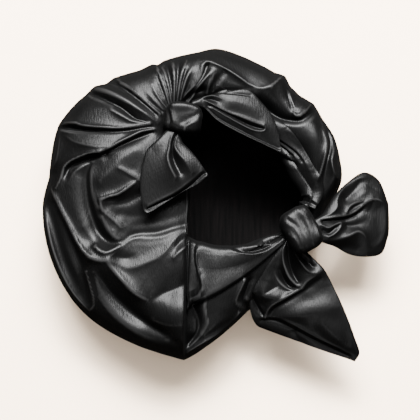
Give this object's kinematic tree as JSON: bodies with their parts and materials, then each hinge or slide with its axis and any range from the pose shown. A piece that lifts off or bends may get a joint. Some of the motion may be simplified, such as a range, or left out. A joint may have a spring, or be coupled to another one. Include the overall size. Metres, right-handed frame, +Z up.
{
  "type": "bow hat",
  "caption": "Soft round satin hat with a velvet-lined hollow and a sash rim tied in bow knots, lying on its crown with the opening up.",
  "frame": {"origin": "on the resting plane, under the middle of the hat's bounding box", "axes": "+Z up out of the opening, +X towards the free tails of the right knot, +Y towards the back of the crown"},
  "size_m": [0.3492, 0.3184, 0.1097],
  "materials": {
    "satin": "black satin weave with a soft sheen",
    "velvet": "deep black velvet, matte"
  },
  "bodies": {
    "root": {"crown": "satin", "lining": "velvet", "sash_back": "satin", "sash_front": "satin", "knot_left": "satin", "knot_right": "satin", "tail_left_down": "satin", "tail_left_right": "satin", "tail_right_up": "satin", "tail_right_down": "satin"}
  },
  "joints": []
}
